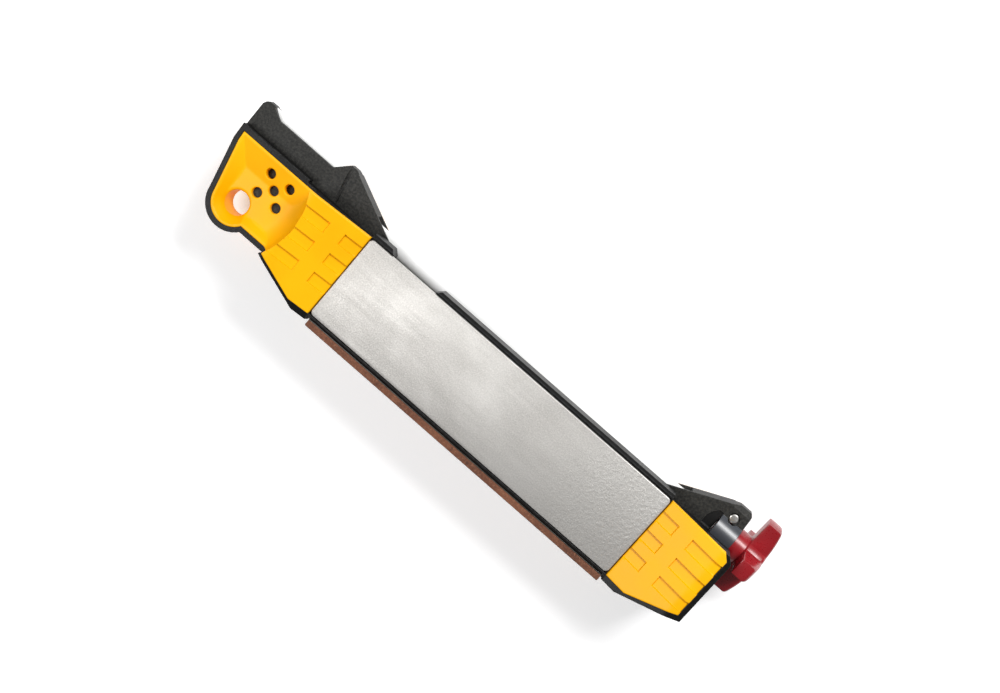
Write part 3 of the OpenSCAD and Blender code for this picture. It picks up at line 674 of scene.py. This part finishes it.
def diamond_nickel(name, grit_scale, dark, light, depth):
    made, tree, shader, place = new_finish(name)
    grit = add(tree, "ShaderNodeTexVoronoi")
    grit.inputs["Scale"].default_value = grit_scale
    link(tree, place, grit.inputs["Vector"])
    fine = noise(tree, place, grit_scale * 0.8, 4, 0.7)
    patches = noise(tree, place, 28, 5, 0.55)
    patches.inputs["Distortion"].default_value = 0.6
    streak = add(tree, "ShaderNodeMapping")
    streak.inputs["Scale"].default_value = (60, 520, 60)
    link(tree, place, streak.inputs["Vector"])
    rubbed = noise(tree, streak.outputs["Vector"], 1, 3, 0.6)
    cloud = maths(tree, "ADD", maths(tree, "MULTIPLY", patches.outputs["Fac"], 0.75),
                  maths(tree, "MULTIPLY", rubbed.outputs["Fac"], 0.25))
    base = blend_colours(tree, between(tree, cloud, 0.32, 0.68), dark, light)
    grain = blend_colours(tree, between(tree, fine.outputs["Fac"], 0.35, 0.7, 0.0, 0.35),
                          base, (0.86, 0.84, 0.8, 1))
    link(tree, grain, shader.inputs["Base Color"])
    shader.inputs["Metallic"].default_value = 0.75
    link(tree, between(tree, cloud, 0.3, 0.7, 0.52, 0.42), shader.inputs["Roughness"])
    split = add(tree, "ShaderNodeSeparateXYZ")
    link(tree, place, split.inputs[0])
    peel = noise(tree, place, 1000, 2, 0.5)
    end_only = between(tree, split.outputs["X"], 0.02, 0.058, 0.15, 3.2)
    height = maths(tree, "ADD", maths(tree, "MULTIPLY", grit.outputs["Distance"], 0.6),
                   fine.outputs["Fac"])
    height = maths(tree, "ADD", height, maths(tree, "MULTIPLY", peel.outputs["Fac"], end_only))
    bump(tree, shader, height, depth, 0.7)
    return made


def add_moulding(node, name, edge, material, body="housing", steps=2, angle=28):
    piece = soft_copy(node, name, edge, steps, angle)
    piece.data.materials.append(material)
    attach(piece, body)
    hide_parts(node)


COARSE_NICKEL = diamond_nickel("coarse_diamond_nickel", 3200, (0.40, 0.385, 0.365, 1),
                               (0.56, 0.545, 0.52, 1), 0.00005)
FINE_NICKEL = diamond_nickel("fine_diamond_nickel", 5200, (0.36, 0.355, 0.345, 1),
                             (0.50, 0.49, 0.475, 1), 0.00003)
PLATE_EDGE = 0.25
add_moulding("front_plate", "front_diamond_plate", PLATE_EDGE, COARSE_NICKEL,
             "front_plate", steps=3)
add_moulding("back_plate", "back_diamond_plate", PLATE_EDGE, FINE_NICKEL,
             "back_plate", steps=3)

# ---- Magnets ----
# Nickel-plated discs pressed into the shells, flush with the seats. Two under each plate hold
# it down, and it is pulled off them by hand.


def bright_nickel(name, base, rough):
    made, tree, shader, place = new_finish(name)
    brushed = add(tree, "ShaderNodeMapping")
    brushed.inputs["Scale"].default_value = (300, 2200, 2200)
    link(tree, place, brushed.inputs["Vector"])
    lines = noise(tree, brushed.outputs["Vector"], 1, 3, 0.6)
    smudge = noise(tree, place, 120, 3, 0.5)
    darker = tuple(v * 0.82 for v in base[:3]) + (1,)
    shade = blend_colours(tree, between(tree, smudge.outputs["Fac"], 0.3, 0.7), darker, base)
    link(tree, shade, shader.inputs["Base Color"])
    shader.inputs["Metallic"].default_value = 1.0
    link(tree, between(tree, lines.outputs["Fac"], 0.3, 0.7, rough - 0.06, rough + 0.08),
         shader.inputs["Roughness"])
    bump(tree, shader, lines.outputs["Fac"], 0.00001, 0.5)
    return made


MAGNET_NICKEL = bright_nickel("magnet_nickel", (0.66, 0.65, 0.62, 1), 0.22)
for face in ("front", "back"):
    for end in ("lanyard_end", "knob_end"):
        add_moulding(f"{face}_magnet_{end}", f"{face}_{end}_magnet", 0.15, MAGNET_NICKEL,
                     steps=3)

# ---- Rods ----
# Extruded and fired white alumina. The main rod has a hook groove along one side and is glued
# into the knob's shank; the thin rod is trapped in the spine's end.


def white_alumina():
    made, tree, shader, place = new_finish("white_alumina")
    drawn = add(tree, "ShaderNodeMapping")
    drawn.inputs["Scale"].default_value = (90, 1500, 1500)
    link(tree, place, drawn.inputs["Vector"])
    lines = noise(tree, drawn.outputs["Vector"], 1, 3, 0.6)
    cloud = noise(tree, place, 70, 3, 0.5)
    shade = blend_colours(tree, between(tree, cloud.outputs["Fac"], 0.3, 0.7),
                          (0.84, 0.84, 0.825, 1), (0.9, 0.9, 0.89, 1))
    link(tree, shade, shader.inputs["Base Color"])
    link(tree, between(tree, lines.outputs["Fac"], 0.3, 0.7, 0.34, 0.46),
         shader.inputs["Roughness"])
    bump(tree, shader, lines.outputs["Fac"], 0.000006, 0.6)
    return made


WHITE_ALUMINA = white_alumina()
add_moulding("main_rod", "turning_rod", 0.15, WHITE_ALUMINA, "rod_unit", angle=40)
add_moulding("small_rod", "fixed_thin_rod", 0.15, WHITE_ALUMINA, angle=40)

# ---- Knob ----
# Glossy dark red moulding with four lobes and a shank that runs in the spine's barrel. The rod
# is glued into the shank, and the shank's neck has four flats for the detent spring.


def red_gloss():
    made, tree, shader, place = new_finish("red_gloss")
    flow = noise(tree, place, 90, 4, 0.5)
    flow.inputs["Distortion"].default_value = 0.8
    hair = noise(tree, place, 1400, 3, 0.6)
    shade = blend_colours(tree, between(tree, flow.outputs["Fac"], 0.3, 0.7),
                          (0.27, 0.005, 0.010, 1), (0.36, 0.010, 0.017, 1))
    link(tree, shade, shader.inputs["Base Color"])
    link(tree, between(tree, hair.outputs["Fac"], 0.3, 0.7, 0.26, 0.34),
         shader.inputs["Roughness"])
    shader.inputs["Coat Weight"].default_value = 0.15
    shader.inputs["Coat Roughness"].default_value = 0.2
    bump(tree, shader, flow.outputs["Fac"], 0.00004, 0.35)
    return made


KNOB_AXIS = Vector((0, 13.32, 0))
KNOB_RADIUS, LOBE_HALF, HUB, BORE = 11.39, 2.45, 4.5, 2.3
KNOB_START, KNOB_TIP, KNOB_DOME = 73.8, 79.79, 1.7
LOBE_SOFT, BACK_SOFT, DRAFT = 0.85, 0.3, 0.25
LOBE_TURNS = (10, 100, 190, 280)
SHANK_START, NECK_START, NECK_END, BORE_END = 64.0, 65.2, 68.0, 72.0
NECK_RADIUS, FLAT_REACH, SHANK_SOFT = 3.9, 3.6, 0.15
KNOB_TURNS = np.radians(np.arange(0, 360, 1.0))


def lobed(inset):
    """Reach of the four-lobed outline in each direction, drawn in by an inset."""
    best = np.full(len(KNOB_TURNS), HUB - inset)
    for middle in LOBE_TURNS:
        lean = (KNOB_TURNS - math.radians(middle) + math.pi) % (2 * math.pi) - math.pi
        side = (LOBE_HALF - inset) / np.maximum(np.abs(np.sin(lean)), 1e-4)
        lobe = np.minimum(side, KNOB_RADIUS - inset)
        best = np.maximum(best, np.where(np.abs(lean) < math.pi / 2, lobe, 0))
    return best


def dome_at(reach):
    ball = (KNOB_RADIUS**2 + KNOB_DOME**2) / (2 * KNOB_DOME)
    return KNOB_TIP - ball + np.sqrt(ball**2 - reach**2)


def knob_rings():
    """(place along the axis, reach) of each ring, from the dome's pole to the bore's end."""
    even = np.ones(len(KNOB_TURNS))
    rings = []
    for share in np.linspace(0.04, 1, 16):
        reach = lobed(LOBE_SOFT) * share
        rings.append((dome_at(reach), reach))
    for turn in np.radians((22, 45, 67, 90)):
        reach = lobed(LOBE_SOFT * (1 - math.sin(turn)))
        rings.append((dome_at(reach) - LOBE_SOFT * (1 - math.cos(turn)), reach))
    rings.append((even * (KNOB_START + BACK_SOFT), lobed(0)))
    for turn in np.radians((45, 90)):
        rings.append((even * (KNOB_START + BACK_SOFT * (1 - math.sin(turn))),
                      lobed(BACK_SOFT * (1 - math.cos(turn)))))
    rings.append((even * KNOB_START, even * (HUB + DRAFT)))
    rings.append((even * (KNOB_START - DRAFT), even * HUB))
    flats = FLAT_REACH / np.maximum(np.abs(np.cos(KNOB_TURNS)), np.abs(np.sin(KNOB_TURNS)))
    neck = np.minimum(NECK_RADIUS, flats)
    for x, reach in ((NECK_END + SHANK_SOFT, even * HUB), (NECK_END, even * (HUB - SHANK_SOFT)),
                     (NECK_END, neck), (NECK_START, neck),
                     (NECK_START, even * (HUB - SHANK_SOFT)),
                     (NECK_START - SHANK_SOFT, even * HUB), (SHANK_START + 0.2, even * HUB),
                     (SHANK_START, even * (HUB - 0.2)), (SHANK_START, even * BORE),
                     (BORE_END, even * BORE), (BORE_END, even * 0.4)):
        rings.append((even * x, reach))
    return rings


def knob_mesh(name):
    axis = KNOB_AXIS + DATUM
    rings = [[((x + axis.x) * MM, (r * math.cos(t) + axis.y) * MM, (r * math.sin(t) + axis.z) * MM)
              for x, r, t in zip(along, reach, KNOB_TURNS)] for along, reach in knob_rings()]
    poles = [((x + axis.x) * MM, axis.y * MM, axis.z * MM) for x in (KNOB_TIP, BORE_END)]
    return lofted(name, rings, poles)


LOBED_KNOB = knob_mesh("lobed_knob")
LOBED_KNOB.data.materials.append(red_gloss())
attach(LOBED_KNOB, "rod_unit")
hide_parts("knob")

# ---- Pin and detent spring ----
# A tumbled steel pin crosses the spine beside the knob's neck, and a leaf of spring steel
# under the neck gives the knob its clicks.
PIN_STEEL = bright_nickel("pin_steel", (0.72, 0.71, 0.68, 1), 0.34)
add_moulding("retaining_pin", "domed_pin", 0.35, PIN_STEEL, steps=4, angle=40)
add_moulding("detent_spring", "leaf_spring", 0.05, bright_nickel("spring_steel",
             (0.6, 0.6, 0.62, 1), 0.3))

# ---- Wrench and screws ----
# The broadhead wrench is stored loose in the front pocket. Four zinc-plated screws with cross
# recesses hold the shells, under the yellow ramps.


def wrench_nylon():
    made, tree, shader, place = new_finish("wrench_nylon")
    grain = use_group(tree, GRAIN, place, Grain_Scale=3000.0, Cloud_Scale=80.0)
    shade = blend_colours(tree, between(tree, grain.outputs["Cloud"], 0.3, 0.7),
                          (0.030, 0.030, 0.032, 1), (0.055, 0.055, 0.058, 1))
    link(tree, shade, shader.inputs["Base Color"])
    link(tree, between(tree, grain.outputs["Cloud"], 0.3, 0.7, 0.42, 0.52),
         shader.inputs["Roughness"])
    bump(tree, shader, grain.outputs["Height"], 0.00003, 0.6)
    return made


add_moulding("broadhead_wrench", "stored_wrench", 0.25, wrench_nylon())


def new_rule(name, inputs):
    """A geometry node group with named inputs: its tree, its input node and its output node."""
    tree = bpy.data.node_groups.new(name, "GeometryNodeTree")
    tree.interface.new_socket("Geometry", in_out="INPUT", socket_type="NodeSocketGeometry")
    for label, kind, value in inputs:
        socket = tree.interface.new_socket(label, in_out="INPUT", socket_type=kind)
        if value is not None:
            socket.default_value = value
    tree.interface.new_socket("Geometry", in_out="OUTPUT", socket_type="NodeSocketGeometry")
    return tree, tree.nodes.new("NodeGroupInput"), tree.nodes.new("NodeGroupOutput")


def bake_rule(piece, tree, **values):
    """Runs a rule on a piece once and keeps its result as the piece's mesh."""
    rule = piece.modifiers.new(tree.name, "NODES")
    rule.node_group = tree
    names = {item.name: item.identifier for item in tree.interface.items_tree
             if item.item_type == "SOCKET" and item.in_out == "INPUT"}
    for key, value in values.items():
        rule[names[key.replace("_", " ")]] = value
    bpy.context.view_layer.update()
    ready = piece.evaluated_get(bpy.context.evaluated_depsgraph_get())
    mesh = bpy.data.meshes.new_from_object(ready)
    mesh.name = piece.name
    piece.modifiers.clear()
    piece.data = mesh
    return piece


def screw_rule(material):
    """The same screw at the four corners of a rectangle."""
    tree, start, end = new_rule("screw_places", [
        ("Spacing X", "NodeSocketFloat", 0.115), ("Spacing Y", "NodeSocketFloat", 0.012),
        ("Middle", "NodeSocketVector", None)])
    grid = add(tree, "GeometryNodeMeshGrid")
    grid.inputs["Vertices X"].default_value = 2
    grid.inputs["Vertices Y"].default_value = 2
    link(tree, start.outputs["Spacing X"], grid.inputs["Size X"])
    link(tree, start.outputs["Spacing Y"], grid.inputs["Size Y"])
    move = add(tree, "GeometryNodeSetPosition")
    link(tree, grid.outputs["Mesh"], move.inputs["Geometry"])
    link(tree, start.outputs["Middle"], move.inputs["Offset"])
    put = add(tree, "GeometryNodeInstanceOnPoints")
    link(tree, move.outputs["Geometry"], put.inputs["Points"])
    link(tree, start.outputs["Geometry"], put.inputs["Instance"])
    real = add(tree, "GeometryNodeRealizeInstances")
    link(tree, put.outputs["Instances"], real.inputs["Geometry"])
    paint = add(tree, "GeometryNodeSetMaterial")
    paint.inputs["Material"].default_value = material
    link(tree, real.outputs["Geometry"], paint.inputs["Geometry"])
    link(tree, paint.outputs["Geometry"], end.inputs["Geometry"])
    return tree


# One screw, in mm: head and cross recess, shank and tip, with heights from the mid-plane.
HEAD_TOP, HEAD_UNDER, TIP = 9.0, 7.4, -8.0
HEAD_RADIUS, SHANK_RADIUS, SCREW_SOFT = 2.3, 1.25, 0.15
CROSS_ARM, CROSS_HALF, CROSS_DEEP = 1.1, 0.3, 0.8
SCREW_SIDES = 48


def one_screw(name):
    """Screw about its own axis, from the floor of its cross recess to its tip."""
    turns = [2 * math.pi * (i + 0.5) / SCREW_SIDES for i in range(SCREW_SIDES)]
    cross = []
    for t in turns:
        c, s = abs(math.cos(t)), abs(math.sin(t))
        cross.append(min(CROSS_ARM / max(c, s), CROSS_HALF / max(min(c, s), 1e-4)))
    floor = HEAD_TOP - CROSS_DEEP
    rings = []
    for reach, z in ((cross, floor), (cross, HEAD_TOP), (HEAD_RADIUS - SCREW_SOFT, HEAD_TOP),
                     (HEAD_RADIUS, HEAD_TOP - SCREW_SOFT), (HEAD_RADIUS, HEAD_UNDER),
                     (SHANK_RADIUS, HEAD_UNDER), (SHANK_RADIUS, TIP + 0.2),
                     (SHANK_RADIUS - 0.2, TIP)):
        reach = reach if isinstance(reach, list) else [reach] * SCREW_SIDES
        rings.append([(r * math.cos(t) * MM, r * math.sin(t) * MM, z * MM)
                      for r, t in zip(reach, turns)])
    return lofted(name, rings, [(0, 0, floor * MM), (0, 0, TIP * MM)])


SCREWS = one_screw("shell_screws")
bake_rule(SCREWS, screw_rule(bright_nickel("zinc_steel", (0.5, 0.5, 0.53, 1), 0.35)),
          Spacing_X=0.115, Spacing_Y=0.012, Middle=tuple(DATUM * MM))
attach(SCREWS, "housing")
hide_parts("housing_screws")

# ---- Strop ----
# A strip of split leather, glued along the edge with a clear film that looks dark over the
# black nylon. Its cut edges are fuzzy and its face is worn and speckled.


def split_leather():
    made, tree, shader, place = new_finish("split_leather")
    fibres = noise(tree, place, 1500, 5, 0.7)
    fibres.inputs["Distortion"].default_value = 1.2
    specks = noise(tree, place, 700, 3, 0.6)
    cloud = noise(tree, place, 60, 4, 0.6)
    base = blend_colours(tree, between(tree, cloud.outputs["Fac"], 0.3, 0.7),
                         (0.11, 0.036, 0.016, 1), (0.21, 0.075, 0.034, 1))
    flecked = blend_colours(tree, between(tree, fibres.outputs["Fac"], 0.5, 0.72),
                            base, (0.34, 0.15, 0.08, 1))
    dusty = blend_colours(tree, between(tree, specks.outputs["Fac"], 0.62, 0.72, 0.0, 0.7),
                          flecked, (0.05, 0.018, 0.010, 1))
    link(tree, dusty, shader.inputs["Base Color"])
    shader.inputs["Roughness"].default_value = 0.85
    shader.inputs["Sheen Weight"].default_value = 0.3
    shader.inputs["Sheen Roughness"].default_value = 0.5
    bump(tree, shader, fibres.outputs["Fac"], 0.00018, 0.9)
    return made


def fibre_rule(material):
    """Short fibres on the strop's long cut edges, kept inside the leather's outer face."""
    tree, start, end = new_rule("cut_edge_fibres", [
        ("Density", "NodeSocketFloat", 4.0e6), ("Length", "NodeSocketFloat", 0.0006),
        ("Width", "NodeSocketFloat", 0.00003), ("Outer Face", "NodeSocketFloat", 0.0),
        ("Seed", "NodeSocketInt", 7)])
    normal = add(tree, "GeometryNodeInputNormal")
    parts = add(tree, "ShaderNodeSeparateXYZ")
    link(tree, normal.outputs["Normal"], parts.inputs[0])
    cut_edge = maths(tree, "GREATER_THAN", maths(tree, "ABSOLUTE", parts.outputs["Z"]), 0.6)
    scatter = add(tree, "GeometryNodeDistributePointsOnFaces")
    link(tree, start.outputs["Geometry"], scatter.inputs["Mesh"])
    link(tree, cut_edge, scatter.inputs["Selection"])
    link(tree, start.outputs["Density"], scatter.inputs["Density"])
    link(tree, start.outputs["Seed"], scatter.inputs["Seed"])
    hair = add(tree, "GeometryNodeMeshCone")
    hair.inputs["Vertices"].default_value = 3
    link(tree, start.outputs["Width"], hair.inputs["Radius Bottom"])
    link(tree, start.outputs["Length"], hair.inputs["Depth"])
    size = add(tree, "FunctionNodeRandomValue", data_type="FLOAT")
    size.inputs[2].default_value = 0.35
    size.inputs[3].default_value = 1.0
    link(tree, start.outputs["Seed"], size.inputs["Seed"])
    lean = add(tree, "FunctionNodeRandomValue", data_type="FLOAT_VECTOR")
    lean.inputs[0].default_value = (-0.9, -0.9, 0)
    lean.inputs[1].default_value = (0.9, 0.9, 6.28)
    link(tree, start.outputs["Seed"], lean.inputs["Seed"])
    turn = add(tree, "FunctionNodeRotateRotation", rotation_space="LOCAL")
    link(tree, scatter.outputs["Rotation"], turn.inputs[0])
    link(tree, lean.outputs[0], turn.inputs[1])
    put = add(tree, "GeometryNodeInstanceOnPoints")
    link(tree, scatter.outputs["Points"], put.inputs["Points"])
    link(tree, hair.outputs["Mesh"], put.inputs["Instance"])
    link(tree, turn.outputs[0], put.inputs["Rotation"])
    link(tree, size.outputs[1], put.inputs["Scale"])
    real = add(tree, "GeometryNodeRealizeInstances")
    link(tree, put.outputs["Instances"], real.inputs["Geometry"])
    where = add(tree, "GeometryNodeInputPosition")
    apart = add(tree, "ShaderNodeSeparateXYZ")
    link(tree, where.outputs["Position"], apart.inputs[0])
    held = add(tree, "ShaderNodeCombineXYZ")
    link(tree, apart.outputs["X"], held.inputs["X"])
    link(tree, maths(tree, "MAXIMUM", apart.outputs["Y"], start.outputs["Outer Face"]),
         held.inputs["Y"])
    link(tree, apart.outputs["Z"], held.inputs["Z"])
    keep = add(tree, "GeometryNodeSetPosition")
    link(tree, real.outputs["Geometry"], keep.inputs["Geometry"])
    link(tree, held.outputs[0], keep.inputs["Position"])
    join = add(tree, "GeometryNodeJoinGeometry")
    link(tree, keep.outputs["Geometry"], join.inputs["Geometry"])
    link(tree, start.outputs["Geometry"], join.inputs["Geometry"])
    paint = add(tree, "GeometryNodeSetMaterial")
    paint.inputs["Material"].default_value = material
    link(tree, join.outputs["Geometry"], paint.inputs["Geometry"])
    link(tree, paint.outputs["Geometry"], end.inputs["Geometry"])
    return tree


LEATHER = split_leather()
STROP_FACE = -16.15
STROP = soft_copy("strop", "leather_strop", 0.3, 3)
STROP.data.materials.append(LEATHER)
bake_rule(STROP, fibre_rule(LEATHER), Density=1.1e7, Length=0.00055, Width=0.000035,
          Outer_Face=(STROP_FACE + DATUM.y) * MM, Seed=7)
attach(STROP, "housing")
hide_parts("strop")


def clear_film():
    made, tree, shader, place = new_finish("clear_film")
    smear = noise(tree, place, 300, 3, 0.6)
    shade = blend_colours(tree, between(tree, smear.outputs["Fac"], 0.3, 0.7),
                          (0.040, 0.036, 0.030, 1), (0.075, 0.068, 0.055, 1))
    link(tree, shade, shader.inputs["Base Color"])
    link(tree, between(tree, smear.outputs["Fac"], 0.3, 0.7, 0.25, 0.45),
         shader.inputs["Roughness"])
    return made


add_moulding("strop_adhesive", "strop_film", 0.03, clear_film())
